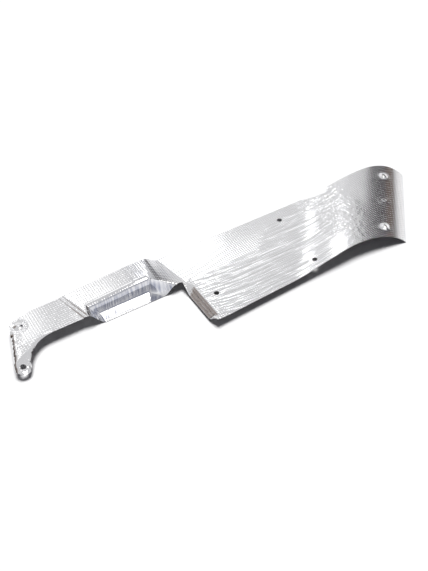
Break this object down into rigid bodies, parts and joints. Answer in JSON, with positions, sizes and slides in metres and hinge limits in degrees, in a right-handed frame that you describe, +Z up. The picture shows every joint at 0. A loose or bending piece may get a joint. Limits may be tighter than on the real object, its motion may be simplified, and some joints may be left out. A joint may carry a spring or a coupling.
{
  "type": "heat shield",
  "caption": "Long pressed-sheet heat shield: foot with a bent lobe, narrow recessed arm, wide creased plate with a return flange, and an arched, slanted end.",
  "frame": {"origin": "centre of the fixing hole in the plate nearest the arm, at mid-thickness of the sheet", "axes": "+X along the shield's length from the foot towards the arched end, +Y towards the straight back edge, +Z up, square to the plate"},
  "size_m": [0.6518, 0.1428, 0.0245],
  "materials": {
    "sheet": "bright, finely embossed"
  },
  "bodies": {
    "root": {"shield": "sheet"}
  },
  "joints": []
}
